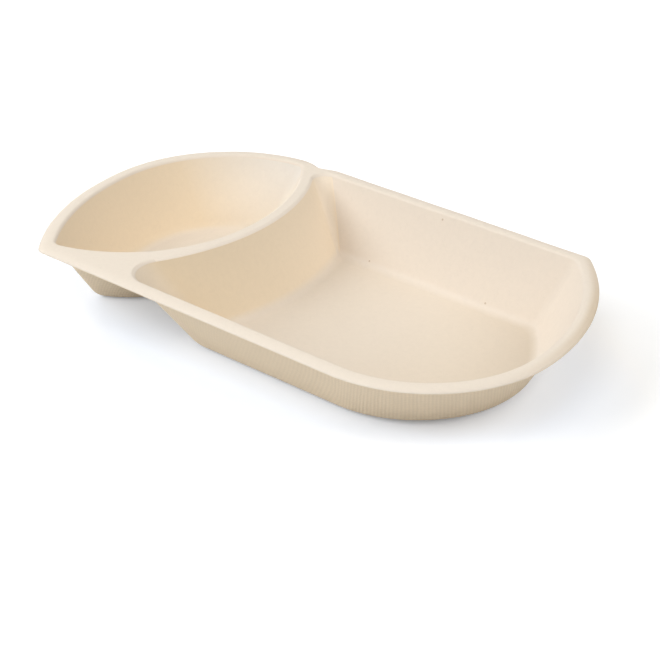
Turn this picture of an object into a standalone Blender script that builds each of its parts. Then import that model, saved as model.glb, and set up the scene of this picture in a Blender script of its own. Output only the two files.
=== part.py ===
"""Two-compartment moulded-fibre tray: a large well and a lens-shaped sauce well in one pressed sheet.

The sheet is built as a shell: every station has a point on its upper face and one on its lower face.
Each zone of the moulding (rim, crest, walls, floors) is then closed into a solid of its own, and
neighbouring zones meet face to face.

Frame: metres, +X along the tray from the sauce end to the large end, +Y across it, +Z up.
The origin is under the middle of the tray, on the surface that it stands on.
"""

from math import atan2, cos, pi, sin, sqrt, tan
from typing import NamedTuple

import bmesh
import bpy
from mathutils import Vector
from mathutils.geometry import delaunay_2d_cdt

# Driving dimensions, in metres
TRAY_LENGTH = 0.220
TRAY_WIDTH = 0.126
TRAY_HEIGHT = 0.0272
SHEET = 0.0008

# Rim: width from the outer edge to the corner of the well, fall to the outer edge, flat on its crest
RIM_WIDTH = 0.0055
RIM_FALL = 0.0009
RIM_FLAT = 0.0006

# Plan of the rim: each end has one wide corner and one tight corner, set back from the end
LARGE_WIDE_CORNER = 0.052
LARGE_TIGHT_CORNER = 0.005
LARGE_TIGHT_SETBACK = 0.033
SAUCE_WIDE_CORNER = 0.056
SAUCE_TIGHT_CORNER = 0.005
SAUCE_TIGHT_SETBACK = 0.0275

# Small notch in the far edge of the rim, where the two wells meet, a little past the sauce well's wide corner
NOTCH_DEPTH = 0.0032
NOTCH_SHIFT = 0.004
NOTCH_LARGE_RUN = 0.008
NOTCH_SAUCE_RUN = 0.012

# Divider: an arc that bulges into the large well, measured from the sauce end of the tray
DIVIDER_REACH = 0.0786
DIVIDER_RADIUS = 0.0872
DIVIDER_SHIFT = 0.0016
CREST_WIDTH = 0.0044
SAUCE_SWEEP = 0.056

# Walls: how far they lean in from the well's corner to the floor's corner, and their fillets
WALL_LEAN = 0.0135
LARGE_END_LEAN = 0.015
RIM_FILLET = 0.0016
FLOOR_FILLET = 0.005

# Corner radii of the wells, at the rim and at the floor. Down the wall, the large well's wide corner opens
# out from concentric by a share of the way to the end wall's own radius
LARGE_WIDE_OPENING = 0.2
LARGE_SQUARE_RIM = 0.006
LARGE_SQUARE_FLOOR = 0.008
LARGE_FAR_TIP_RIM = 0.005
LARGE_FAR_TIP_FLOOR = 0.0008
LARGE_NEAR_TIP_RIM = 0.0105
LARGE_NEAR_TIP_FLOOR = 0.009
SAUCE_TIP_RIM = 0.0045
SAUCE_TIP_FLOOR = 0.003

# Mesh steps
FILLET_STEPS = 4
LIP_STEPS = 2
WIDE_STEPS = 14
TIP_STEPS = 6
ARC_STEPS = 12
EDGE_STEPS = 2
NOTCH_STEPS = 10

FIBRE_ROUGHNESS = 0.85
SMALLEST_RADIUS = 0.0003
SAME_POINT = 1e-9

# The kind of triangulation that leaves out what lies outside the border
INSIDE_BORDER = 1


class Line(NamedTuple):
    """A straight edge through a point, with the region on its left."""

    point: Vector
    along: Vector


class Arc(NamedTuple):
    """A round edge. side is +1 where the region lies inside the circle, -1 where it lies outside."""

    centre: Vector
    radius: float
    side: int


def inset(edge, distance):
    """The edge moved into its region."""
    if isinstance(edge, Line):
        return Line(edge.point + distance * Vector((-edge.along.y, edge.along.x)), edge.along)
    return Arc(edge.centre, edge.radius - edge.side * distance, edge.side)


def meet(first, second):
    """The corner where the outline leaves the first edge and takes the second."""
    if isinstance(first, Arc) and isinstance(second, Arc):
        between = second.centre - first.centre
        gap = between.length
        along = (gap**2 + first.radius**2 - second.radius**2) / (2 * gap)
        aside = sqrt(first.radius**2 - along**2) * first.side * second.side
        unit = between / gap
        return first.centre + unit * along + Vector((-unit.y, unit.x)) * aside
    line, arc = (first, second) if isinstance(first, Line) else (second, first)
    foot = touch(line, arc.centre)
    half_chord = sqrt(arc.radius**2 - (foot - arc.centre).length_squared)
    way = arc.side if line is first else -arc.side
    return foot + line.along * half_chord * way


def touch(edge, point):
    """The point of an edge that is nearest to a point."""
    if isinstance(edge, Line):
        return edge.point + edge.along * (point - edge.point).dot(edge.along)
    return edge.centre + (point - edge.centre).normalized() * edge.radius


def along_arc(centre, start, end, side, shares):
    """Points on an arc at the given shares of its sweep."""
    begin = atan2(start.y - centre.y, start.x - centre.x)
    sweep = (atan2(end.y - centre.y, end.x - centre.x) - begin) % (2 * pi)
    if side < 0:
        sweep -= 2 * pi
    radius = (start - centre).length
    angles = [begin + sweep * share for share in shares]
    return [centre + radius * Vector((cos(angle), sin(angle))) for angle in angles]


def even(steps):
    """Evenly spread shares, the last one left to the next stretch."""
    return [step / steps for step in range(steps)]


def toward_end(steps):
    """Shares that crowd towards the end of a stretch."""
    return [1 - (1 - step / steps) ** 3 for step in range(steps)]


def toward_start(steps):
    """Shares that crowd towards the start of a stretch."""
    return [(step / steps) ** 2 for step in range(steps)]


def toward_notch(steps):
    """Shares of the far edge that crowd towards the notch from both sides."""
    before = [NOTCH_SHARE * share for share in toward_end(steps)]
    return before + [NOTCH_SHARE + (1 - NOTCH_SHARE) * share for share in toward_start(steps // 2)]


def outline(edges, radii, distances, edge_shares, corner_shares):
    """A closed loop of points, each edge inset by its distance. A radius of None joins two tangent arcs."""
    edges = [inset(edge, distance) for edge, distance in zip(edges, distances)]
    joins = []
    for first, second, radius in zip(edges, edges[1:] + edges[:1], radii):
        if radius is None:
            wide, tight = sorted((first, second), key=lambda arc: -arc.radius)
            point = touch(wide, tight.centre)
            joins.append((point, point, None))
        else:
            centre = meet(inset(first, radius), inset(second, radius))
            joins.append((touch(first, centre), touch(second, centre), centre))
    points = []
    for index, edge in enumerate(edges):
        start = joins[index - 1][1]
        end, after, centre = joins[index]
        if isinstance(edge, Line):
            points += [start.lerp(end, share) for share in edge_shares[index]]
        else:
            points += along_arc(edge.centre, start, end, edge.side, edge_shares[index])
        if centre is not None:
            points += along_arc(centre, end, after, 1, corner_shares[index])
    return points


def end_arc(way, wide_corner, setback):
    """The wide arc of one end, from the end's own middle to its tight corner."""
    corner_centre = way * Vector((TRAY_LENGTH / 2 - wide_corner, wide_corner - TRAY_WIDTH / 2))
    tight = way * Vector((TRAY_LENGTH / 2 - setback, TRAY_WIDTH / 2))
    reach = corner_centre - tight + way * Vector((wide_corner, 0))
    radius = reach.length_squared / (2 * way * reach.x)
    return Arc(corner_centre - way * Vector((radius - wide_corner, 0)), radius, 1)


# Plan: the edges of the rim and of the two wells
NEAR_EDGE = Line(Vector((0, -TRAY_WIDTH / 2)), Vector((1, 0)))
FAR_EDGE = Line(Vector((0, TRAY_WIDTH / 2)), Vector((-1, 0)))
LARGE_END = end_arc(1, LARGE_WIDE_CORNER, LARGE_TIGHT_SETBACK)
SAUCE_END = end_arc(-1, SAUCE_WIDE_CORNER, SAUCE_TIGHT_SETBACK)
RIM_EDGES = [NEAR_EDGE, LARGE_END, FAR_EDGE, SAUCE_END]
RIM_RADII = [LARGE_WIDE_CORNER, LARGE_TIGHT_CORNER, SAUCE_WIDE_CORNER, SAUCE_TIGHT_CORNER]

DIVIDER_CENTRE = Vector((DIVIDER_REACH - TRAY_LENGTH / 2 - DIVIDER_RADIUS, DIVIDER_SHIFT))
LARGE_DIVIDER = Arc(DIVIDER_CENTRE, DIVIDER_RADIUS, -1)
LARGE_EDGES = [inset(edge, RIM_WIDTH) for edge in (NEAR_EDGE, LARGE_END, FAR_EDGE)] + [LARGE_DIVIDER]

SAUCE_DIVIDER = Arc(DIVIDER_CENTRE, DIVIDER_RADIUS - CREST_WIDTH, 1)
SWEEP_CENTRE = meet(inset(NEAR_EDGE, RIM_WIDTH + SAUCE_SWEEP), inset(SAUCE_DIVIDER, SAUCE_SWEEP))
SAUCE_NEAR = Arc(SWEEP_CENTRE, SAUCE_SWEEP, 1)
WIDE_CENTRE = meet(inset(FAR_EDGE, SAUCE_WIDE_CORNER), inset(SAUCE_END, SAUCE_WIDE_CORNER))
SAUCE_WIDE = Arc(WIDE_CENTRE, SAUCE_WIDE_CORNER - RIM_WIDTH, 1)
SAUCE_EDGES = [SAUCE_NEAR, SAUCE_DIVIDER, SAUCE_WIDE, inset(SAUCE_END, RIM_WIDTH)]

NOTCH_PLACE = WIDE_CENTRE.x + NOTCH_SHIFT
NOTCH_SHARE = 1 - NOTCH_SHIFT / (TRAY_LENGTH / 2 - LARGE_TIGHT_SETBACK - WIDE_CENTRE.x)

# Section of the walls
WALL_ANGLE = atan2(TRAY_HEIGHT - SHEET, WALL_LEAN)
RIM_TRIM = RIM_FILLET * tan(WALL_ANGLE / 2)
FLOOR_TRIM = FLOOR_FILLET * tan(WALL_ANGLE / 2)
LIP_WIDTH = RIM_WIDTH - RIM_TRIM - RIM_FLAT


def section():
    """Rows of the wall from rim to floor: inset and height of the upper face and of the lower face."""
    rows = []
    for step in range(FILLET_STEPS + 1):
        angle = WALL_ANGLE * step / FILLET_STEPS
        for radius in (RIM_FILLET, RIM_FILLET - SHEET):
            rows.append((radius * sin(angle) - RIM_TRIM, TRAY_HEIGHT - RIM_FILLET + radius * cos(angle)))
    for step in range(FILLET_STEPS + 1):
        angle = WALL_ANGLE * (1 - step / FILLET_STEPS)
        for radius in (FLOOR_FILLET, FLOOR_FILLET + SHEET):
            across = WALL_LEAN + FLOOR_TRIM - radius * sin(angle)
            rows.append((across, SHEET + FLOOR_FILLET - radius * cos(angle)))
    return list(zip(rows[0::2], rows[1::2]))


def between(rim_radius, floor_radius, distance):
    """A corner radius part of the way down the wall. On the rim the corners stay concentric."""
    if distance < 0:
        return rim_radius - distance
    return rim_radius + (floor_radius - rim_radius) * min(distance / WALL_LEAN, 1)


LARGE_SHARES = [even(EDGE_STEPS), even(ARC_STEPS), even(EDGE_STEPS), even(ARC_STEPS)]
LARGE_CORNER_SHARES = [even(WIDE_STEPS), even(TIP_STEPS), even(TIP_STEPS), even(TIP_STEPS)]
SAUCE_SHARES = [even(ARC_STEPS), even(ARC_STEPS), even(ARC_STEPS), even(ARC_STEPS)]
SAUCE_CORNER_SHARES = [None, even(TIP_STEPS), None, even(TIP_STEPS)]
RIM_SHARES = [even(EDGE_STEPS), even(ARC_STEPS), toward_notch(NOTCH_STEPS), even(ARC_STEPS)]
RIM_CORNER_SHARES = [even(WIDE_STEPS), even(TIP_STEPS), toward_start(WIDE_STEPS), even(TIP_STEPS)]


def large_loop(distance):
    """The large well's outline, inset from its corner with the rim."""
    down = min(max(distance / WALL_LEAN, 0), 1)
    opening = LARGE_WIDE_OPENING * down * (LARGE_END.radius - LARGE_WIDE_CORNER)
    radii = [
        LARGE_WIDE_CORNER - RIM_WIDTH - distance + opening,
        between(LARGE_SQUARE_RIM, LARGE_SQUARE_FLOOR, distance),
        between(LARGE_FAR_TIP_RIM, LARGE_FAR_TIP_FLOOR, distance),
        between(LARGE_NEAR_TIP_RIM, LARGE_NEAR_TIP_FLOOR, distance),
    ]
    distances = [distance, distance * LARGE_END_LEAN / WALL_LEAN, distance, distance]
    return outline(LARGE_EDGES, radii, distances, LARGE_SHARES, LARGE_CORNER_SHARES)


def sauce_loop(distance):
    """The sauce well's outline, inset from its corner with the rim."""
    tip = between(SAUCE_TIP_RIM, SAUCE_TIP_FLOOR, distance)
    distances = [distance] * len(SAUCE_EDGES)
    return outline(SAUCE_EDGES, [None, tip, None, tip], distances, SAUCE_SHARES, SAUCE_CORNER_SHARES)


def rim_loop(distance):
    """The rim's outline, inset from its outer edge, with the notch fading out across the lip."""
    radii = [max(radius - distance, SMALLEST_RADIUS) for radius in RIM_RADII]
    distances = [distance] * len(RIM_EDGES)
    points = outline(RIM_EDGES, radii, distances, RIM_SHARES, RIM_CORNER_SHARES)
    for point in points:
        off = point.x - NOTCH_PLACE
        run = NOTCH_LARGE_RUN if off > 0 else NOTCH_SAUCE_RUN
        if point.y > 0 and abs(off) < run:
            point.y -= NOTCH_DEPTH * (1 - abs(off) / run) ** 2 * (1 - distance / LIP_WIDTH)
    return points


class Shell:
    """The sheet: stations with an upper and a lower point, and faces sorted by zone."""

    def __init__(self):
        self.upper = []
        self.lower = []
        self.zones = {}

    def row(self, upper, upper_height, lower, lower_height):
        """Add a loop of stations and return their numbers."""
        first = len(self.upper)
        self.upper += [Vector((point.x, point.y, upper_height)) for point in upper]
        self.lower += [Vector((point.x, point.y, lower_height)) for point in lower]
        return list(range(first, len(self.upper)))

    def strip(self, outside, inside, zone_names):
        """Join two closed rows, one face for each station, each in its own zone."""
        count = len(outside)
        for here, zone in enumerate(zone_names):
            after = (here + 1) % count
            face = (outside[here], outside[after], inside[after], inside[here])
            self.zones.setdefault(zone, []).append(face)

    def fill(self, border, holes, zone):
        """Cover the flat region inside a border and outside its holes with triangles."""
        loops = [border] + holes
        stations = [station for loop in loops for station in loop]
        place = {station: index for index, station in enumerate(stations)}
        pairs = [pair for loop in loops for pair in zip(loop, loop[1:] + loop[:1])]
        flat = [self.upper[station].to_2d() for station in stations]
        bonds = [(place[one], place[other]) for one, other in pairs]
        faces = delaunay_2d_cdt(flat, bonds, [], INSIDE_BORDER, SAME_POINT)[2]
        for face in faces:
            middle = sum((flat[index] for index in face), Vector((0, 0))) / len(face)
            crossings = sum(crosses(flat[one], flat[other], middle) for one, other in bonds)
            if crossings % 2:
                self.zones.setdefault(zone, []).append(tuple(stations[index] for index in face))

    def solid(self, zone):
        """Close one zone into a solid: upper faces, lower faces and the band around its border."""
        faces = self.zones[zone]
        used = sorted({station for face in faces for station in face})
        mesh = bmesh.new()
        top = {station: mesh.verts.new(self.upper[station]) for station in used}
        bottom = {station: mesh.verts.new(self.lower[station]) for station in used}
        sides = {pair for face in faces for pair in zip(face, face[1:] + face[:1])}
        for face in faces:
            mesh.faces.new([top[station] for station in face])
            mesh.faces.new([bottom[station] for station in reversed(face)])
        for one, other in sorted(sides):
            if (other, one) not in sides:
                low, high = min(one, other), max(one, other)
                ring = [top[one], bottom[one], bottom[other], top[other]]
                split = {top[low], bottom[high]}
                mesh.faces.new([vert for vert in ring if vert in split or vert is top[high]])
                mesh.faces.new([vert for vert in ring if vert in split or vert is bottom[low]])
        return mesh


def crosses(one, other, point):
    """Whether a ray from the point towards +X crosses the segment."""
    if (one.y > point.y) == (other.y > point.y):
        return False
    return point.x < one.x + (point.y - one.y) / (other.y - one.y) * (other.x - one.x)


def nearest(points, target):
    """The number of the point that is nearest to a target."""
    return min(range(len(points)), key=lambda number: (points[number] - target).length)


def spread(shares, corner_shares, names, corner_names):
    """The zone name of every station of a loop, in the order in which outline() makes them."""
    zone_names = []
    for edge, corner, name, corner_name in zip(shares, corner_shares, names, corner_names):
        zone_names += [name] * len(edge)
        zone_names += [corner_name] * len(corner or [])
    return zone_names


def build_shell():
    """The whole sheet, zone by zone."""
    shell = Shell()
    rows = section()

    lip = []
    for step in range(LIP_STEPS + 1):
        share = step / LIP_STEPS
        height = TRAY_HEIGHT - RIM_FALL * (1 - share) ** 2
        loop = rim_loop(LIP_WIDTH * share)
        lip.append(shell.row(loop, height, loop, height - SHEET))
    for outside, inside in zip(lip, lip[1:]):
        shell.strip(outside, inside, ["rim_flange"] * len(outside))

    large_walls = spread(
        LARGE_SHARES,
        LARGE_CORNER_SHARES,
        ["large_near_wall", "large_end_wall", "large_far_wall", "large_divider_wall"],
        ["large_end_wall", "large_end_wall", "large_divider_wall", "large_divider_wall"],
    )
    sauce_walls = spread(
        SAUCE_SHARES,
        SAUCE_CORNER_SHARES,
        ["sauce_divider_wall", "sauce_divider_wall", "sauce_end_wall", "sauce_end_wall"],
        ["sauce_divider_wall", "sauce_end_wall", "sauce_end_wall", "sauce_end_wall"],
    )

    # The crest takes the divider's arc of the large well, and what lies beside it of the sauce well
    large_divider = range(large_walls.index("large_divider_wall") + TIP_STEPS, len(large_walls) - TIP_STEPS)
    brim = rows[0][0][0]
    crest_ends = [large_loop(brim)[station] for station in (large_divider.stop, large_divider.start)]
    sauce_divider = range(*(nearest(sauce_loop(brim), point) for point in crest_ends))
    wells = (
        (large_loop, large_walls, large_divider, "large_floor"),
        (sauce_loop, sauce_walls, sauce_divider, "sauce_floor"),
    )
    brims = []
    for loop, walls, divider, floor in wells:
        rings = [
            shell.row(loop(upper[0]), upper[1], loop(lower[0]), lower[1]) for upper, lower in rows
        ]
        rim_zones = ["rim_flange"] * len(walls)
        for station in divider:
            rim_zones[station] = "divider_crest"
        for index, (outside, inside) in enumerate(zip(rings, rings[1:])):
            shell.strip(outside, inside, rim_zones if index < FILLET_STEPS else walls)
        shell.fill(rings[-1], [], floor)
        brims.append(rings[0])

    # Flat top: the crest between the wells, then the rim around both of them
    large, sauce = brims
    large_start, large_stop = large_divider.start, large_divider.stop
    sauce_start, sauce_stop = sauce_divider.start, sauce_divider.stop
    crest = large[large_start : large_stop + 1] + sauce[sauce_start : sauce_stop + 1]
    around_large = large[large_stop:] + large[: large_start + 1]
    around_sauce = sauce[sauce_stop:] + sauce[: sauce_start + 1]
    shell.fill(crest, [], "divider_crest")
    shell.fill(lip[-1], [around_large + around_sauce], "rim_flange")
    return shell


# Colour of each zone, as linear red, green and blue
FIBRE_COLOURS = {
    "rim_flange": (0.80, 0.71, 0.60),
    "divider_crest": (0.80, 0.71, 0.60),
    "large_near_wall": (0.76, 0.66, 0.52),
    "large_end_wall": (0.78, 0.69, 0.56),
    "large_far_wall": (0.77, 0.67, 0.54),
    "large_divider_wall": (0.74, 0.63, 0.48),
    "large_floor": (0.82, 0.73, 0.62),
    "sauce_end_wall": (0.72, 0.60, 0.44),
    "sauce_divider_wall": (0.75, 0.64, 0.50),
    "sauce_floor": (0.78, 0.68, 0.54),
}


def fibre(name, colour):
    """Matt moulded fibre for one zone."""
    material = bpy.data.materials.new(name + "_fibre")
    material.use_nodes = True
    shader = material.node_tree.nodes["Principled BSDF"]
    shader.inputs["Base Color"].default_value = (*colour, 1.0)
    shader.inputs["Roughness"].default_value = FIBRE_ROUGHNESS
    shader.inputs["Metallic"].default_value = 0.0
    return material


def build():
    """One object for each zone of the moulding, under one empty."""
    for stale in list(bpy.data.objects):
        bpy.data.objects.remove(stale)
    tray = bpy.data.objects.new("tray", None)
    bpy.context.scene.collection.objects.link(tray)
    shell = build_shell()
    for name, colour in FIBRE_COLOURS.items():
        solid = shell.solid(name)
        mesh = bpy.data.meshes.new(name)
        solid.to_mesh(mesh)
        solid.free()
        mesh.materials.append(fibre(name, colour))
        zone = bpy.data.objects.new(name, mesh)
        zone.parent = tray
        bpy.context.scene.collection.objects.link(zone)


build()
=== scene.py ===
"""Looks of the moulded-fibre tray: the pressed sheet, its finish, a pale floor, soft light and a camera.

The sheet is built as a shell: every station has a point on its upper face and one on its lower face.
Each zone of the moulding is closed into a piece of its own, which stands for the solid of that name, and
all pieces share the normals of the whole sheet, so that no seam shows between them.
"""

from math import atan2, cos, pi, radians, sin, sqrt, tan
from typing import NamedTuple

import bpy
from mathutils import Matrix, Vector, noise
from mathutils.geometry import delaunay_2d_cdt


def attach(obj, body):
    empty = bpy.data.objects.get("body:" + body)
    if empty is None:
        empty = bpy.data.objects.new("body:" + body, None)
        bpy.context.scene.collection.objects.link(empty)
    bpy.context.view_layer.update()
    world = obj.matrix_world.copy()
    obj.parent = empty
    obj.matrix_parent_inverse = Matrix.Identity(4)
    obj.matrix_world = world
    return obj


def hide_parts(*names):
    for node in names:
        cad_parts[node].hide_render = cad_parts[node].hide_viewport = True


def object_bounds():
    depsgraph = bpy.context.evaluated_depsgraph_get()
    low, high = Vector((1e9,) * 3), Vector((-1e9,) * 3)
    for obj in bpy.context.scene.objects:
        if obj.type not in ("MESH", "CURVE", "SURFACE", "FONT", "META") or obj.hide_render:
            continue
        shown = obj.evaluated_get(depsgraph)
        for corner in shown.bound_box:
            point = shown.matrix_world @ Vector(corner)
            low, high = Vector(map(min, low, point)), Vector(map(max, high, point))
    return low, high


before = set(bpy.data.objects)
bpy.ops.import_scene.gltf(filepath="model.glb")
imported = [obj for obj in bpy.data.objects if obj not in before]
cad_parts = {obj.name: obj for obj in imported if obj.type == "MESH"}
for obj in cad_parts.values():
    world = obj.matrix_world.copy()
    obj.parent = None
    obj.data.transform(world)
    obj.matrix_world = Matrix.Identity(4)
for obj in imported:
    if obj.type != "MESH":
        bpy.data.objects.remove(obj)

CAD_LOW, CAD_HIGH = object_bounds()

# Overall size, from the frame
TRAY_LENGTH, TRAY_WIDTH, TRAY_HEIGHT = CAD_HIGH - CAD_LOW
SHEET = 0.0008

# Rim: width from the outer edge to the corner of the well, fall to the outer edge, flat on its crest
RIM_WIDTH = 0.0055
RIM_FALL = 0.0009
RIM_FLAT = 0.0006

# Plan of the rim: each end has one wide corner and one tight corner, set back from the end
LARGE_WIDE_CORNER = 0.052
LARGE_TIGHT_CORNER = 0.005
LARGE_TIGHT_SETBACK = 0.033
SAUCE_WIDE_CORNER = 0.056
SAUCE_TIGHT_CORNER = 0.005
SAUCE_TIGHT_SETBACK = 0.0275

# Small notch in the far edge of the rim, where the wells meet, a little past the sauce well's wide corner
NOTCH_DEPTH = 0.0032
NOTCH_SHIFT = 0.004
NOTCH_LARGE_RUN = 0.008
NOTCH_SAUCE_RUN = 0.012

# Divider: an arc that bulges into the large well, measured from the sauce end of the tray
DIVIDER_REACH = 0.0786
DIVIDER_RADIUS = 0.0872
DIVIDER_SHIFT = 0.0016
CREST_WIDTH = 0.0044
SAUCE_SWEEP = 0.056

# Walls: how far they lean in from the well's corner to the floor's corner, and their fillets
WALL_LEAN = 0.0135
LARGE_END_LEAN = 0.015
RIM_FILLET = 0.0016
FLOOR_FILLET = 0.005

# Corner radii of the wells, at the rim and at the floor. Down the wall, the large well's wide corner opens
# out from concentric by a share of the way to the end wall's own radius
LARGE_WIDE_OPENING = 0.2
LARGE_SQUARE_RIM = 0.006
LARGE_SQUARE_FLOOR = 0.008
LARGE_FAR_TIP_RIM = 0.005
LARGE_FAR_TIP_FLOOR = 0.0008
LARGE_NEAR_TIP_RIM = 0.0105
LARGE_NEAR_TIP_FLOOR = 0.009
SAUCE_TIP_RIM = 0.0045
SAUCE_TIP_FLOOR = 0.003

# Mesh steps
FILLET_STEPS = 10
WALL_STEPS = 14
LIP_STEPS = 8
EDGE_ROUND_STEPS = 4
WIDE_STEPS = 56
TIP_STEPS = 14
ARC_STEPS = 52
EDGE_STEPS = 60
NOTCH_STEPS = 72

SMALLEST_RADIUS = 0.0003
SAME_POINT = 1e-9

# The kind of triangulation that leaves out what lies outside the border
INSIDE_BORDER = 1

# Unevenness of the pressed sheet: how far it strays from its true shape, over what length, and its seed
WARP = 0.00012
WARP_LENGTH = 0.028
WARP_SEED = 7

# Forming screen: pitch of the wires that left their weave on the outside
SCREEN_PITCH = 0.0013

# A piece's material slots, for its upper face and for its lower face, and its map of the screen's weave
UPPER_SLOT = 0
LOWER_SLOT = 1
SCREEN_MAP = "screen"

# Camera: place, tilt from straight down, turn about the vertical, lens, and where its view begins
CAMERA_PLACE = Vector((0.3907, -0.4578, 0.3289))
CAMERA_TILT = radians(61.0)
CAMERA_TURN = radians(40.07)
CAMERA_LENS = 100.0
CAMERA_SENSOR = 36.0
CAMERA_CLIP = 0.01


class Line(NamedTuple):
    """A straight edge through a point, with the region on its left."""

    point: Vector
    along: Vector


class Arc(NamedTuple):
    """A round edge. side is +1 where the region lies inside the circle, -1 where it lies outside."""

    centre: Vector
    radius: float
    side: int


def inset(edge, distance):
    """The edge moved into its region."""
    if isinstance(edge, Line):
        return Line(edge.point + distance * Vector((-edge.along.y, edge.along.x)), edge.along)
    return Arc(edge.centre, edge.radius - edge.side * distance, edge.side)


def meet(first, second):
    """The corner where the outline leaves the first edge and takes the second."""
    if isinstance(first, Arc) and isinstance(second, Arc):
        apart = second.centre - first.centre
        gap = apart.length
        along = (gap**2 + first.radius**2 - second.radius**2) / (2 * gap)
        aside = sqrt(first.radius**2 - along**2) * first.side * second.side
        unit = apart / gap
        return first.centre + unit * along + Vector((-unit.y, unit.x)) * aside
    line, arc = (first, second) if isinstance(first, Line) else (second, first)
    foot = touch(line, arc.centre)
    half_chord = sqrt(arc.radius**2 - (foot - arc.centre).length_squared)
    way = arc.side if line is first else -arc.side
    return foot + line.along * half_chord * way


def touch(edge, point):
    """The point of an edge that is nearest to a point."""
    if isinstance(edge, Line):
        return edge.point + edge.along * (point - edge.point).dot(edge.along)
    return edge.centre + (point - edge.centre).normalized() * edge.radius


def along_arc(centre, start, end, side, shares):
    """Points on an arc at the given shares of its sweep."""
    begin = atan2(start.y - centre.y, start.x - centre.x)
    sweep = (atan2(end.y - centre.y, end.x - centre.x) - begin) % (2 * pi)
    if side < 0:
        sweep -= 2 * pi
    radius = (start - centre).length
    angles = [begin + sweep * share for share in shares]
    return [centre + radius * Vector((cos(angle), sin(angle))) for angle in angles]


def even(steps):
    """Evenly spread shares, the last one left to the next stretch."""
    return [step / steps for step in range(steps)]


def toward_end(steps):
    """Shares that crowd towards the end of a stretch."""
    return [1 - (1 - step / steps) ** 3 for step in range(steps)]


def toward_start(steps):
    """Shares that crowd towards the start of a stretch."""
    return [(step / steps) ** 2 for step in range(steps)]


def toward_notch(steps):
    """Shares of the far edge that crowd towards the notch from both sides."""
    before = [NOTCH_SHARE * share for share in toward_end(steps)]
    return before + [NOTCH_SHARE + (1 - NOTCH_SHARE) * share for share in toward_start(steps // 2)]


def outline(edges, radii, distances, edge_shares, corner_shares):
    """A closed loop of points, each edge inset by its distance. A radius of None joins two tangent arcs."""
    edges = [inset(edge, distance) for edge, distance in zip(edges, distances)]
    joins = []
    for first, second, radius in zip(edges, edges[1:] + edges[:1], radii):
        if radius is None:
            wide, tight = sorted((first, second), key=lambda arc: -arc.radius)
            point = touch(wide, tight.centre)
            joins.append((point, point, None))
        else:
            centre = meet(inset(first, radius), inset(second, radius))
            joins.append((touch(first, centre), touch(second, centre), centre))
    points = []
    for index, edge in enumerate(edges):
        start = joins[index - 1][1]
        end, after, centre = joins[index]
        if isinstance(edge, Line):
            points += [start.lerp(end, share) for share in edge_shares[index]]
        else:
            points += along_arc(edge.centre, start, end, edge.side, edge_shares[index])
        if centre is not None:
            points += along_arc(centre, end, after, 1, corner_shares[index])
    return points


def end_arc(way, wide_corner, setback):
    """The wide arc of one end, from the end's own middle to its tight corner."""
    corner_centre = way * Vector((TRAY_LENGTH / 2 - wide_corner, wide_corner - TRAY_WIDTH / 2))
    tight = way * Vector((TRAY_LENGTH / 2 - setback, TRAY_WIDTH / 2))
    reach = corner_centre - tight + way * Vector((wide_corner, 0))
    radius = reach.length_squared / (2 * way * reach.x)
    return Arc(corner_centre - way * Vector((radius - wide_corner, 0)), radius, 1)


# Plan: the edges of the rim and of the two wells
NEAR_EDGE = Line(Vector((0, -TRAY_WIDTH / 2)), Vector((1, 0)))
FAR_EDGE = Line(Vector((0, TRAY_WIDTH / 2)), Vector((-1, 0)))
LARGE_END = end_arc(1, LARGE_WIDE_CORNER, LARGE_TIGHT_SETBACK)
SAUCE_END = end_arc(-1, SAUCE_WIDE_CORNER, SAUCE_TIGHT_SETBACK)
RIM_EDGES = [NEAR_EDGE, LARGE_END, FAR_EDGE, SAUCE_END]
RIM_RADII = [LARGE_WIDE_CORNER, LARGE_TIGHT_CORNER, SAUCE_WIDE_CORNER, SAUCE_TIGHT_CORNER]

DIVIDER_CENTRE = Vector((DIVIDER_REACH - TRAY_LENGTH / 2 - DIVIDER_RADIUS, DIVIDER_SHIFT))
LARGE_DIVIDER = Arc(DIVIDER_CENTRE, DIVIDER_RADIUS, -1)
LARGE_EDGES = [inset(edge, RIM_WIDTH) for edge in (NEAR_EDGE, LARGE_END, FAR_EDGE)] + [LARGE_DIVIDER]

SAUCE_DIVIDER = Arc(DIVIDER_CENTRE, DIVIDER_RADIUS - CREST_WIDTH, 1)
SWEEP_CENTRE = meet(inset(NEAR_EDGE, RIM_WIDTH + SAUCE_SWEEP), inset(SAUCE_DIVIDER, SAUCE_SWEEP))
SAUCE_NEAR = Arc(SWEEP_CENTRE, SAUCE_SWEEP, 1)
WIDE_CENTRE = meet(inset(FAR_EDGE, SAUCE_WIDE_CORNER), inset(SAUCE_END, SAUCE_WIDE_CORNER))
SAUCE_WIDE = Arc(WIDE_CENTRE, SAUCE_WIDE_CORNER - RIM_WIDTH, 1)
SAUCE_EDGES = [SAUCE_NEAR, SAUCE_DIVIDER, SAUCE_WIDE, inset(SAUCE_END, RIM_WIDTH)]

NOTCH_PLACE = WIDE_CENTRE.x + NOTCH_SHIFT
NOTCH_SHARE = 1 - NOTCH_SHIFT / (TRAY_LENGTH / 2 - LARGE_TIGHT_SETBACK - WIDE_CENTRE.x)

# Section of the walls and of the rim's rounded outer edge
WALL_ANGLE = atan2(TRAY_HEIGHT - SHEET, WALL_LEAN)
RIM_TRIM = RIM_FILLET * tan(WALL_ANGLE / 2)
FLOOR_TRIM = FLOOR_FILLET * tan(WALL_ANGLE / 2)
LIP_WIDTH = RIM_WIDTH - RIM_TRIM - RIM_FLAT
EDGE_RADIUS = SHEET / 2


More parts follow.
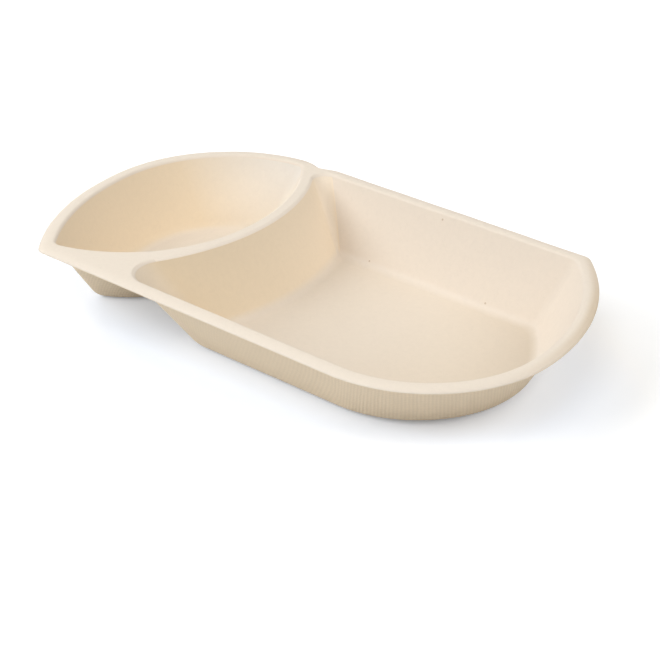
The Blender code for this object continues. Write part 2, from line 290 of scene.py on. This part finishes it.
def section():
    """Rows of the wall from rim to floor: inset and height of the upper face and of the lower face."""
    rim_height = TRAY_HEIGHT - RIM_FILLET
    floor_inset = WALL_LEAN + FLOOR_TRIM
    floor_height = SHEET + FLOOR_FILLET
    rim_rows = []
    floor_rows = []
    for step in range(FILLET_STEPS + 1):
        angle = WALL_ANGLE * step / FILLET_STEPS
        rim_rows.append(
            [
                Vector((radius * sin(angle) - RIM_TRIM, rim_height + radius * cos(angle)))
                for radius in (RIM_FILLET, RIM_FILLET - SHEET)
            ]
        )
        floor_rows.append(
            [
                Vector((floor_inset - radius * sin(angle), floor_height - radius * cos(angle)))
                for radius in (FLOOR_FILLET, FLOOR_FILLET + SHEET)
            ]
        )
    floor_rows.reverse()
    wall_rows = [
        [top.lerp(foot, step / WALL_STEPS) for top, foot in zip(rim_rows[-1], floor_rows[0])]
        for step in range(1, WALL_STEPS)
    ]
    return rim_rows + wall_rows + floor_rows


def between(rim_radius, floor_radius, distance):
    """A corner radius part of the way down the wall. On the rim the corners stay concentric."""
    if distance < 0:
        return rim_radius - distance
    return rim_radius + (floor_radius - rim_radius) * min(distance / WALL_LEAN, 1)


LARGE_SHARES = [even(EDGE_STEPS), even(ARC_STEPS), even(EDGE_STEPS), even(ARC_STEPS)]
LARGE_CORNER_SHARES = [even(WIDE_STEPS), even(TIP_STEPS), even(TIP_STEPS), even(TIP_STEPS)]
SAUCE_SHARES = [even(ARC_STEPS), even(ARC_STEPS), even(ARC_STEPS), even(ARC_STEPS)]
SAUCE_CORNER_SHARES = [None, even(TIP_STEPS), None, even(TIP_STEPS)]
RIM_SHARES = [even(EDGE_STEPS), even(ARC_STEPS), toward_notch(NOTCH_STEPS), even(ARC_STEPS)]
RIM_CORNER_SHARES = [even(WIDE_STEPS), even(TIP_STEPS), toward_start(WIDE_STEPS), even(TIP_STEPS)]


def large_loop(distance):
    """The large well's outline, inset from its corner with the rim."""
    down = min(max(distance / WALL_LEAN, 0), 1)
    opening = LARGE_WIDE_OPENING * down * (LARGE_END.radius - LARGE_WIDE_CORNER)
    radii = [
        LARGE_WIDE_CORNER - RIM_WIDTH - distance + opening,
        between(LARGE_SQUARE_RIM, LARGE_SQUARE_FLOOR, distance),
        between(LARGE_FAR_TIP_RIM, LARGE_FAR_TIP_FLOOR, distance),
        between(LARGE_NEAR_TIP_RIM, LARGE_NEAR_TIP_FLOOR, distance),
    ]
    distances = [distance, distance * LARGE_END_LEAN / WALL_LEAN, distance, distance]
    return outline(LARGE_EDGES, radii, distances, LARGE_SHARES, LARGE_CORNER_SHARES)


def sauce_loop(distance):
    """The sauce well's outline, inset from its corner with the rim."""
    tip = between(SAUCE_TIP_RIM, SAUCE_TIP_FLOOR, distance)
    distances = [distance] * len(SAUCE_EDGES)
    return outline(SAUCE_EDGES, [None, tip, None, tip], distances, SAUCE_SHARES, SAUCE_CORNER_SHARES)


def rim_loop(distance):
    """The rim's outline, inset from its outer edge, with the notch fading out across the lip."""
    radii = [max(radius - distance, SMALLEST_RADIUS) for radius in RIM_RADII]
    distances = [distance] * len(RIM_EDGES)
    points = outline(RIM_EDGES, radii, distances, RIM_SHARES, RIM_CORNER_SHARES)
    for point in points:
        off = point.x - NOTCH_PLACE
        run = NOTCH_LARGE_RUN if off > 0 else NOTCH_SAUCE_RUN
        if point.y > 0 and abs(off) < run:
            point.y -= NOTCH_DEPTH * (1 - abs(off) / run) ** 2 * (1 - distance / LIP_WIDTH)
    return points


class Shell:
    """The sheet: stations with an upper and a lower point, and faces sorted by zone."""

    def __init__(self):
        self.upper = []
        self.lower = []
        self.edge = set()
        self.zones = {}

    def row(self, upper, upper_height, lower, lower_height):
        """Add a loop of stations and return their numbers."""
        first = len(self.upper)
        self.upper += [Vector((point.x, point.y, upper_height)) for point in upper]
        self.lower += [Vector((point.x, point.y, lower_height)) for point in lower]
        return list(range(first, len(self.upper)))

    def strip(self, outside, inside, zone_names, along, across):
        """Join two closed rows, a face for each station. along and across place it on the screen's weave."""
        count = len(outside)
        for here, zone in enumerate(zone_names):
            after = (here + 1) % count
            face = (outside[here], outside[after], inside[after], inside[here])
            left, right = along[here], along[here + 1]
            weave = ((left, across[0]), (right, across[0]), (right, across[1]), (left, across[1]))
            self.zones.setdefault(zone, []).append((face, weave))

    def fill(self, border, holes, zone):
        """Cover the flat region inside a border and outside its holes with triangles."""
        loops = [border] + holes
        stations = [station for loop in loops for station in loop]
        place = {station: index for index, station in enumerate(stations)}
        pairs = [pair for loop in loops for pair in zip(loop, loop[1:] + loop[:1])]
        flat = [self.upper[station].to_2d() for station in stations]
        bonds = [(place[one], place[other]) for one, other in pairs]
        for corners in delaunay_2d_cdt(flat, bonds, [], INSIDE_BORDER, SAME_POINT)[2]:
            middle = sum((flat[index] for index in corners), Vector((0, 0))) / len(corners)
            crossings = sum(crosses(flat[one], flat[other], middle) for one, other in bonds)
            if crossings % 2:
                face = tuple(stations[index] for index in corners)
                weave = tuple(tuple(flat[index] / SCREEN_PITCH) for index in corners)
                self.zones.setdefault(zone, []).append((face, weave))

    def warp(self):
        """Let the whole sheet stray a little, as pressed fibre does: upwards low down, downwards high up."""
        noise.seed_set(WARP_SEED)
        for station, point in enumerate(self.upper):
            stray = WARP * noise.noise_vector(point / WARP_LENGTH)
            stray.z = abs(stray.z) * (1 - 2 * point.z / TRAY_HEIGHT)
            self.upper[station] = within_box(point + stray)
            self.lower[station] = within_box(self.lower[station] + stray)

    def normals(self):
        """Normals of the whole sheet at every station, for its upper face and for its lower face."""
        upper = [Vector() for _ in self.upper]
        lower = [Vector() for _ in self.lower]
        for faces in self.zones.values():
            for face, _ in faces:
                for points, totals, way in ((self.upper, upper, 1), (self.lower, lower, -1)):
                    one, two, three = (points[station] for station in face[:3])
                    last = points[face[-1]]
                    if len(face) > 3:
                        area = (three - one).cross(last - two)
                    else:
                        area = (two - one).cross(three - one)
                    for station in face:
                        totals[station] += way * area
        for station in self.edge:
            upper[station] += lower[station]
        return upper, lower

    def piece(self, zone, upper_normals, lower_normals, materials):
        """Close one zone into a piece: upper faces, lower faces and the band around its border."""
        faces = self.zones[zone]
        used = sorted({station for face, _ in faces for station in face})
        points = [self.upper[station] for station in used]
        normals = [upper_normals[station] for station in used]
        top = {station: index for index, station in enumerate(used)}
        bottom = {}
        for station in used:
            if station in self.edge:
                bottom[station] = top[station]
            else:
                bottom[station] = len(points)
                points.append(self.lower[station])
                normals.append(lower_normals[station])
        polygons = []
        weaves = []
        slots = []
        for face, weave in faces:
            polygons.append([top[station] for station in face])
            polygons.append([bottom[station] for station in reversed(face)])
            weaves += list(weave) + list(reversed(weave))
            slots += [UPPER_SLOT, LOWER_SLOT]
        sides = {pair for face, _ in faces for pair in zip(face, face[1:] + face[:1])}
        for one, other in sorted(sides):
            if (other, one) not in sides and one not in self.edge:
                polygons.append([top[other], top[one], bottom[one], bottom[other]])
                weaves += [(0, 0)] * 4
                slots.append(UPPER_SLOT)
        mesh = bpy.data.meshes.new(zone)
        mesh.from_pydata(points, [], polygons)
        for material in materials:
            mesh.materials.append(material)
        mesh.polygons.foreach_set("material_index", slots)
        screen_map = mesh.uv_layers.new(name=SCREEN_MAP)
        screen_map.uv.foreach_set("vector", [value for pair in weaves for value in pair])
        mesh.shade_smooth()
        mesh.normals_split_custom_set_from_vertices([normal.normalized() for normal in normals])
        return mesh


def within_box(point):
    """The point, or the nearest one inside the frame's own box."""
    return Vector(min(max(value, low), high) for value, low, high in zip(point, CAD_LOW, CAD_HIGH))


def crosses(one, other, point):
    """Whether a ray from the point towards +X crosses the segment."""
    if (one.y > point.y) == (other.y > point.y):
        return False
    return point.x < one.x + (point.y - one.y) / (other.y - one.y) * (other.x - one.x)


def nearest(points, target):
    """The number of the point that is nearest to a target."""
    return min(range(len(points)), key=lambda number: (points[number] - target).length)


def spread(shares, corner_shares, names, corner_names):
    """The zone name of every station of a loop, in the order in which outline() makes them."""
    zone_names = []
    for edge, corner, name, corner_name in zip(shares, corner_shares, names, corner_names):
        zone_names += [name] * len(edge)
        zone_names += [corner_name] * len(corner or [])
    return zone_names


def wires_along(loop):
    """How many wires of the screen lie before each point of a closed loop, and before its end."""
    lengths = [0.0]
    for here, after in zip(loop, loop[1:] + loop[:1]):
        lengths.append(lengths[-1] + (after - here).length)
    wires = round(lengths[-1] / SCREEN_PITCH)
    return [length / lengths[-1] * wires for length in lengths]


def build_lip(shell):
    """The rim's outer edge and lip, from the edge inwards. Returns its innermost row."""
    rows = []
    for step in range(EDGE_ROUND_STEPS):
        angle = pi / 2 * step / EDGE_ROUND_STEPS
        rows.append((EDGE_RADIUS * (1 - cos(angle)), EDGE_RADIUS * sin(angle)))
    for step in range(LIP_STEPS + 1):
        rows.append((EDGE_RADIUS + (LIP_WIDTH - EDGE_RADIUS) * step / LIP_STEPS, EDGE_RADIUS))
    along = wires_along(rim_loop(0))
    outside = None
    across = 0.0
    for distance, half in rows:
        middle = TRAY_HEIGHT - EDGE_RADIUS - RIM_FALL * (1 - distance / LIP_WIDTH) ** 2
        loop = rim_loop(distance)
        inside = shell.row(loop, middle + half, loop, middle - half)
        further = distance / SCREEN_PITCH
        if outside is None:
            shell.edge.update(inside)
        else:
            shell.strip(outside, inside, ["rim_flange"] * len(loop), along, (across, further))
        outside = inside
        across = further
    return outside


def build_shell():
    """The whole sheet, zone by zone."""
    shell = Shell()
    rows = section()
    lip = build_lip(shell)

    large_walls = spread(
        LARGE_SHARES,
        LARGE_CORNER_SHARES,
        ["large_near_wall", "large_end_wall", "large_far_wall", "large_divider_wall"],
        ["large_end_wall", "large_end_wall", "large_divider_wall", "large_divider_wall"],
    )
    sauce_walls = spread(
        SAUCE_SHARES,
        SAUCE_CORNER_SHARES,
        ["sauce_divider_wall", "sauce_divider_wall", "sauce_end_wall", "sauce_end_wall"],
        ["sauce_divider_wall", "sauce_end_wall", "sauce_end_wall", "sauce_end_wall"],
    )

    # The crest takes the divider's arc of the large well, and what lies beside it of the sauce well
    large_divider = range(large_walls.index("large_divider_wall") + TIP_STEPS, len(large_walls) - TIP_STEPS)
    brim = rows[0][0].x
    crest_ends = [large_loop(brim)[station] for station in (large_divider.stop, large_divider.start)]
    sauce_divider = range(*(nearest(sauce_loop(brim), point) for point in crest_ends))
    wells = (
        (large_loop, large_walls, large_divider, "large_floor"),
        (sauce_loop, sauce_walls, sauce_divider, "sauce_floor"),
    )
    brims = []
    for loop, walls, divider, floor in wells:
        rings = [shell.row(loop(upper.x), upper.y, loop(lower.x), lower.y) for upper, lower in rows]
        along = wires_along(loop(WALL_LEAN / 2))
        rim_zones = ["rim_flange"] * len(walls)
        for station in divider:
            rim_zones[station] = "divider_crest"
        down = 0.0
        for index, (outside, inside) in enumerate(zip(rings, rings[1:])):
            further = down + (rows[index + 1][1] - rows[index][1]).length / SCREEN_PITCH
            zone_names = rim_zones if index < FILLET_STEPS else walls
            shell.strip(outside, inside, zone_names, along, (down, further))
            down = further
        shell.fill(rings[-1], [], floor)
        brims.append(rings[0])

    # Flat top: the crest between the wells, then the rim around both of them
    large, sauce = brims
    large_start, large_stop = large_divider.start, large_divider.stop
    sauce_start, sauce_stop = sauce_divider.start, sauce_divider.stop
    crest = large[large_start : large_stop + 1] + sauce[sauce_start : sauce_stop + 1]
    around_large = large[large_stop:] + large[: large_start + 1]
    around_sauce = sauce[sauce_stop:] + sauce[: sauce_start + 1]
    shell.fill(crest, [], "divider_crest")
    shell.fill(lip, [around_large + around_sauce], "rim_flange")
    shell.warp()
    return shell


# Colours of the fibre, as linear red, green and blue: the rim and the painted shade on its lip, the floors,
# the walls inside. Painted light makes the sauce well's floor and the crest's sides lighter, and painted
# shade makes the large floor's end darker. The divider's and the sauce well's walls go from painted shade
# to painted light. Last come the outside and the flecks
RIM_COLOUR = (0.795, 0.70, 0.59)
LIP_WITH_PAINTED_SHADE = (0.68, 0.56, 0.42)
SAUCE_FLOOR_WITH_PAINTED_LIGHT = (0.825, 0.725, 0.61)
LARGE_FLOOR_COLOUR = (0.75, 0.65, 0.535)
LARGE_FLOOR_END_WITH_PAINTED_SHADE = (0.71, 0.605, 0.48)
WALL_COLOUR = (0.795, 0.70, 0.597)
CREST_WITH_PAINTED_LIGHT = (0.88, 0.785, 0.68)
DIVIDER_WITH_PAINTED_SHADE = (0.765, 0.63, 0.45)
DIVIDER_WITH_PAINTED_LIGHT = (0.86, 0.735, 0.575)
SAUCE_WALL_WITH_PAINTED_SHADE = (0.81, 0.675, 0.50)
SAUCE_WALL_WITH_PAINTED_LIGHT = (0.785, 0.725, 0.655)
OUTER_COLOUR = (0.785, 0.66, 0.50)
FLECK_COLOUR = (0.46, 0.33, 0.20)

# Along the tray, where the sauce well's floor, lighter with painted light, gives way to the large well's,
# and where that turns darker with painted shade
WELL_CHANGE = (-0.045, -0.036)
FLOOR_SHADE_DRIFT = (0.025, 0.075)

# Across the tray, where the walls of the divider and of the sauce well turn from painted shade to painted
# light
DIVIDER_DRIFT = (-0.045, 0.05)
SAUCE_DRIFT = (0.028, 0.056)

# Where the lip of the large end gets painted shade, as it faces away from the light: along the tray, across
# it, and as it faces outwards
LIP_SHADE_ALONG = (0.07, 0.10)
LIP_SHADE_ACROSS = (-0.03, 0.03)
LIP_SHADE_TURN = (0.02, 0.24)

# How level the sheet is where a wall's colour begins to give way, and where the rim's or floor's is full.
# The late fade carries the plain walls' lighter colour onto the fillet at their foot, as a painted highlight
LATE_FADE = (0.75, 1.0)
EARLY_FADE = (0.45, 0.88)


class Cloud(NamedTuple):
    """A cloudy noise: how fine it is, its finer detail and how strong that is, and how far it is stirred."""

    scale: float
    detail: float
    roughness: float
    distortion: float = 0.0


# Mottle lightens and darkens the fibre, grain roughens it, and strands run where their noise is middling
MOTTLE = Cloud(520.0, 5.0, 0.65)
MOTTLE_SPAN = (0.25, 0.75)
MOTTLE_DEPTH = 0.018
GRAIN = Cloud(1500.0, 3.0, 0.6)
GRAIN_SPAN = (0.3, 0.7)
GRAIN_ROUGHNESS = (0.74, 0.9)
STRANDS = Cloud(210.0, 2.0, 0.5, 1.2)
STRAND_MIDDLE = 0.5
STRAND_WIDTH = 0.02

# Small flecks lie in some of the cells of a random pattern, and a few darker ones at places of their own
FLECK_SCALE = 62.0
FLECK_CELLS = (0.7, 1.0)
FLECK_SIZE = 0.02
FLECK_STRENGTH = 0.6
DARK_FLECKS = ((0.0146, 0.0564, 0.0250), (-0.0120, 0.0450, 0.0029), (0.0439, 0.0451, 0.0033))
DARK_FLECK_RADIUS = 0.0004

# Relief: the shares of grain and strands, then on the outside those of this fibre and of the screen's wires,
# how deep each goes, and how strongly it shows
GRAIN_SHARE = 0.7
STRAND_SHARE = 0.3
FIBRE_SHARE = 0.3
WIRE_SHARE = 0.5
GRAIN_DEPTH = 0.00005
WEAVE_DEPTH = 0.00012
RELIEF_STRENGTH = 0.6

# Gloss of the matt fibre
FIBRE_SPECULAR = 0.25

# Weave: how far its wires lighten the fibre, and its cross wires as a share of the others. Along the tray,
# it is faint around one place and full away from it, and turns from slanting to upright between two others
WEAVE_SHADE = 0.03
CROSS_WIRES = 0.6
FAINT = 0.35
FAINT_PLACE = 0.005
FAINT_REACH = (0.015, 0.05)
SLANT = 0.8
SLANT_FADE = (0.0, 0.05)

# The colour sockets of a mix node, which share their names with its others
MIX_FIRST = 6
MIX_SECOND = 7
MIX_RESULT = 2


def opaque(colour):
    """A colour with full alpha, or the socket that gives it."""
    return colour if isinstance(colour, bpy.types.NodeSocket) else (*colour, 1.0)


class Nodes:
    """Short calls for making the nodes of a material or of the world."""

    def __init__(self, owner, shader):
        owner.use_nodes = True
        self.tree = owner.node_tree
        self.shader = self.tree.nodes[shader].inputs

    def add(self, kind, values=None, **settings):
        """A node with its settings, and its inputs set to numbers or linked to sockets."""
        node = self.tree.nodes.new(kind)
        for key, value in settings.items():
            setattr(node, key, value)
        for key, value in (values or {}).items():
            self.feed(node.inputs[key], value)
        return node

    def feed(self, socket, value):
        """Set one input, or link it to an output."""
        if isinstance(value, bpy.types.NodeSocket):
            self.tree.links.new(value, socket)
        else:
            socket.default_value = value

    def math(self, operation, *values):
        """The result of one sum."""
        return self.add("ShaderNodeMath", dict(enumerate(values)), operation=operation).outputs[0]

    def vector(self, operation, result, values):
        """The result of one sum with vectors."""
        return self.add("ShaderNodeVectorMath", values, operation=operation).outputs[result]

    def range(self, value, span, to_low=0.0, to_high=1.0):
        """A value taken from one span to another, without going past its ends."""
        low, high = span
        values = {"Value": value, "From Min": low, "From Max": high, "To Min": to_low, "To Max": to_high}
        return self.add("ShaderNodeMapRange", values).outputs["Result"]

    def split(self, vector):
        """The parts of a vector."""
        return self.add("ShaderNodeSeparateXYZ", {"Vector": vector}).outputs

    def mix(self, share, first, second):
        """A blend of two colours."""
        values = {"Factor": share, MIX_FIRST: opaque(first), MIX_SECOND: opaque(second)}
        return self.add("ShaderNodeMix", values, data_type="RGBA").outputs[MIX_RESULT]

    def cloud(self, place, look):
        """A cloudy noise, from 0 to 1."""
        values = {"Vector": place, "Scale": look.scale, "Detail": look.detail}
        values |= {"Roughness": look.roughness, "Distortion": look.distortion}
        return self.add("ShaderNodeTexNoise", values).outputs["Fac"]

    def seen(self):
        """1 where the camera sees the surface, also in a reflection or through glass, and otherwise 0."""
        path = self.add("ShaderNodeLightPath").outputs
        reflected = self.math("MAXIMUM", path["Is Glossy Ray"], path["Is Transmission Ray"])
        return self.math("MAXIMUM", path["Is Camera Ray"], reflected)


def flecks(nodes, place):
    """1 where a fleck lies, and otherwise 0."""
    cells = nodes.add("ShaderNodeTexVoronoi", {"Vector": place, "Scale": FLECK_SCALE}).outputs
    chosen = nodes.add("ShaderNodeSeparateColor", {"Color": cells["Color"]}).outputs["Red"]
    size = nodes.range(chosen, FLECK_CELLS, 0.0, FLECK_SIZE)
    found = nodes.math("LESS_THAN", cells["Distance"], size)
    for spot in DARK_FLECKS:
        away = nodes.vector("DISTANCE", "Value", {0: place, 1: spot})
        found = nodes.math("MAXIMUM", found, nodes.math("LESS_THAN", away, DARK_FLECK_RADIUS))
    return found


def tones(nodes, spot, wall, fade, lip):
    """The fibre's colour by its place and by how level it lies, including painted light and shade."""
    normal = nodes.split(nodes.add("ShaderNodeNewGeometry").outputs["Normal"])
    # Painted light on the sauce well's floor, and painted shade towards the large end of the large floor
    floors = nodes.mix(nodes.range(spot["X"], WELL_CHANGE), SAUCE_FLOOR_WITH_PAINTED_LIGHT, LARGE_FLOOR_COLOUR)
    floors = nodes.mix(nodes.range(spot["X"], FLOOR_SHADE_DRIFT), floors, LARGE_FLOOR_END_WITH_PAINTED_SHADE)
    colour = nodes.mix(nodes.range(spot["Z"], (0.0, TRAY_HEIGHT)), floors, RIM_COLOUR)
    level = nodes.math("ABSOLUTE", normal["Z"])
    # A wall's colour reaches onto the fillet at its foot; on the plain walls this is a painted highlight
    colour = nodes.mix(nodes.range(level, fade), wall, colour)
    # Painted shade on the far half of the large end's lip, where it turns away from the light
    if lip:
        at_end = nodes.range(spot["X"], LIP_SHADE_ALONG)
        far_half = nodes.range(spot["Y"], LIP_SHADE_ACROSS)
        turned = nodes.range(normal["X"], LIP_SHADE_TURN)
        share = nodes.math("MULTIPLY", nodes.math("MULTIPLY", at_end, far_half), turned)
        colour = nodes.mix(share, colour, LIP_WITH_PAINTED_SHADE)
    return colour


def screen_wires(nodes, spot):
    """The screen's wires: above 0 on a wire, and below 0 between two of them."""
    map_spot = nodes.split(nodes.add("ShaderNodeUVMap", uv_map=SCREEN_MAP).outputs["UV"])
    slant = nodes.range(spot["X"], SLANT_FADE, SLANT, 0.0)
    count = nodes.math("ADD", map_spot["X"], nodes.math("MULTIPLY", map_spot["Y"], slant))
    wires = nodes.math("COSINE", nodes.math("MULTIPLY", count, 2 * pi))
    cross_wires = nodes.math("COSINE", nodes.math("MULTIPLY", map_spot["Y"], 2 * pi))
    wires = nodes.math("ADD", wires, nodes.math("MULTIPLY", cross_wires, CROSS_WIRES))
    away = nodes.math("ABSOLUTE", nodes.math("SUBTRACT", spot["X"], FAINT_PLACE))
    return nodes.math("MULTIPLY", wires, nodes.range(away, FAINT_REACH, FAINT, 1.0))


def fibre(name, wall, pale=None, drift=None, fade=LATE_FADE, screen=False):
    """Matt pressed fibre: mottle, grain, strands and a few flecks, and outside the screen's weave.

    Across the tray, the wall's colour may drift from painted shade to painted light. It fades into the
    rim's or the floor's own.
    """
    material = bpy.data.materials.new(name)
    nodes = Nodes(material, "Principled BSDF")
    place = nodes.add("ShaderNodeTexCoord").outputs["Object"]
    spot = nodes.split(place)
    if pale:
        wall = nodes.mix(nodes.range(spot["Y"], drift), wall, pale)
    colour = tones(nodes, spot, wall, fade, not screen)

    grain = nodes.cloud(place, GRAIN)
    off_middle = nodes.math("SUBTRACT", nodes.cloud(place, STRANDS), STRAND_MIDDLE)
    strands = nodes.range(nodes.math("ABSOLUTE", off_middle), (0.0, STRAND_WIDTH), 1.0, 0.0)
    shade = nodes.range(nodes.cloud(place, MOTTLE), MOTTLE_SPAN, 1 - MOTTLE_DEPTH, 1 + MOTTLE_DEPTH)
    shade = nodes.math("SUBTRACT", shade, nodes.math("MULTIPLY", strands, MOTTLE_DEPTH))
    relief = nodes.math("MULTIPLY", grain, GRAIN_SHARE)
    relief = nodes.math("ADD", relief, nodes.math("MULTIPLY", strands, STRAND_SHARE))
    depth = GRAIN_DEPTH
    if screen:
        wires = screen_wires(nodes, spot)
        shade = nodes.math("ADD", shade, nodes.math("MULTIPLY", wires, WEAVE_SHADE))
        relief = nodes.math("MULTIPLY", relief, FIBRE_SHARE)
        relief = nodes.math("ADD", relief, nodes.math("MULTIPLY", wires, WIRE_SHARE))
        depth = WEAVE_DEPTH
    colour = nodes.vector("SCALE", "Vector", {0: colour, "Scale": shade})
    colour = nodes.mix(nodes.math("MULTIPLY", flecks(nodes, place), FLECK_STRENGTH), colour, FLECK_COLOUR)

    bump = nodes.add("ShaderNodeBump", {"Strength": RELIEF_STRENGTH, "Distance": depth, "Height": relief})
    nodes.feed(nodes.shader["Base Color"], colour)
    nodes.feed(nodes.shader["Roughness"], nodes.range(grain, GRAIN_SPAN, *GRAIN_ROUGHNESS))
    nodes.feed(nodes.shader["Normal"], bump.outputs["Normal"])
    nodes.feed(nodes.shader["Specular IOR Level"], FIBRE_SPECULAR)
    return material


def build_tray():
    """One piece for each zone of the moulding, riding on the frame's only body."""
    plain = fibre("fibre_plain", WALL_COLOUR)
    # The crest's rounded sides are lighter, with painted light
    crest = fibre("fibre_crest_painted_light", CREST_WITH_PAINTED_LIGHT)
    # The divider's wall: painted shade at its near end, turning to painted light at its far end
    divider = fibre("fibre_divider_painted_light_and_shade", DIVIDER_WITH_PAINTED_SHADE, DIVIDER_WITH_PAINTED_LIGHT, DIVIDER_DRIFT, EARLY_FADE)
    # The sauce well's walls: painted shade, turning to painted light towards the far side
    sauce = fibre("fibre_sauce_painted_light_and_shade", SAUCE_WALL_WITH_PAINTED_SHADE, SAUCE_WALL_WITH_PAINTED_LIGHT, SAUCE_DRIFT)
    outer = fibre("fibre_screen", OUTER_COLOUR, screen=True)
    inner = {
        "divider_crest": crest,
        "large_divider_wall": divider,
        "sauce_end_wall": sauce,
        "sauce_divider_wall": sauce,
    }
    shell = build_shell()
    normals = shell.normals()
    for zone in shell.zones:
        mesh = shell.piece(zone, *normals, (inner.get(zone, plain), outer))
        piece = bpy.data.objects.new(zone + "_moulding", mesh)
        bpy.context.scene.collection.objects.link(piece)
        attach(piece, "root")
        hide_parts(zone)


# Stage: a pale floor, soft boxes aimed at the tray, and a little even light from all round. To the camera,
# the floor is tinted beside the tray, against the warm light that the tray throws on it, plain beyond that,
# and white far away. These distances hold along the tray and are shorter across it, as the tray's sides are
FLOOR_SIZE = 6.0
FLOOR_DROP = 0.0001
FLOOR_COLOUR = (0.86, 0.86, 0.86)
FLOOR_BESIDE = (0.82, 0.885, 1.0)
FLOOR_BEYOND = (0.91, 0.91, 0.91)
TINT_FADE = (0.108, 0.135)
FLOOR_GLOW = 0.22
GLOW_RISE = (0.3, 0.9)
WHITE = (1.0, 1.0, 1.0)
WORLD_LIGHT = 0.2

# Each lamp has its turn about the vertical and its height above the floor, in degrees, its power and colour
LAMP_DISTANCE = 1.5
LAMP_SIZE = 0.8
DAYLIGHT = (0.96, 0.985, 1.0)
WARM = (1.0, 0.98, 0.95)
LAMPS = {
    "key": (240, 33, 10.6, DAYLIGHT),
    "side": (205, 40, 3.0, DAYLIGHT),
    "fill": (18, 42, 9.8, WARM),
    "back": (160, 30, 4.6, DAYLIGHT),
    "top": (285, 62, 5.6, DAYLIGHT),
}


def build_floor():
    """A wide pale floor, white to the camera where no shadow falls."""
    corner = FLOOR_SIZE / 2
    points = [(-corner, -corner, 0), (corner, -corner, 0), (corner, corner, 0), (-corner, corner, 0)]
    mesh = bpy.data.meshes.new("floor")
    mesh.from_pydata(points, [], [(0, 1, 2, 3)])
    floor = bpy.data.objects.new("floor", mesh)
    floor.location.z = -FLOOR_DROP
    material = bpy.data.materials.new("floor")
    nodes = Nodes(material, "Principled BSDF")
    seen = nodes.seen()
    place = nodes.add("ShaderNodeTexCoord").outputs["Object"]
    stretched = nodes.vector("MULTIPLY", "Vector", {0: place, 1: (1.0, TRAY_LENGTH / TRAY_WIDTH, 1.0)})
    away = nodes.vector("LENGTH", "Value", {0: stretched})
    glow = nodes.range(away, GLOW_RISE, FLOOR_GLOW, 1.0)
    colour = nodes.mix(nodes.range(away, TINT_FADE), FLOOR_BESIDE, FLOOR_BEYOND)
    nodes.feed(nodes.shader["Base Color"], nodes.mix(seen, FLOOR_COLOUR, colour))
    nodes.feed(nodes.shader["Roughness"], 1.0)
    nodes.feed(nodes.shader["Specular IOR Level"], 0.0)
    nodes.feed(nodes.shader["Emission Color"], opaque(WHITE))
    nodes.feed(nodes.shader["Emission Strength"], nodes.math("MULTIPLY", seen, glow))
    mesh.materials.append(material)
    bpy.context.scene.collection.objects.link(floor)


def build_world():
    """Even soft light from all round, seen as white."""
    world = bpy.data.worlds.new("studio")
    nodes = Nodes(world, "Background")
    nodes.feed(nodes.shader["Color"], opaque(WHITE))
    nodes.feed(nodes.shader["Strength"], nodes.range(nodes.seen(), (0.0, 1.0), WORLD_LIGHT, 1.0))
    bpy.context.scene.world = world


def build_lamps():
    """Square soft boxes, each aimed at the tray."""
    for name, (turn, height, power, colour) in LAMPS.items():
        light = bpy.data.lights.new(name, "AREA")
        light.size = LAMP_SIZE
        light.energy = power
        light.color = colour
        turn = radians(turn)
        height = radians(height)
        place = LAMP_DISTANCE * Vector((cos(height) * cos(turn), cos(height) * sin(turn), sin(height)))
        lamp = bpy.data.objects.new(name, light)
        lamp.location = place
        lamp.rotation_euler = (-place).to_track_quat("-Z", "Y").to_euler()
        bpy.context.scene.collection.objects.link(lamp)


def build_camera():
    """The camera, above the near right of the tray."""
    lens = bpy.data.cameras.new("camera")
    lens.lens = CAMERA_LENS
    lens.sensor_width = CAMERA_SENSOR
    lens.clip_start = CAMERA_CLIP
    camera = bpy.data.objects.new("camera", lens)
    camera.location = CAMERA_PLACE
    camera.rotation_euler = (CAMERA_TILT, 0.0, CAMERA_TURN)
    bpy.context.scene.collection.objects.link(camera)
    bpy.context.scene.camera = camera


build_tray()
build_floor()
build_world()
build_lamps()
build_camera()
bpy.context.scene.view_settings.view_transform = "Standard"
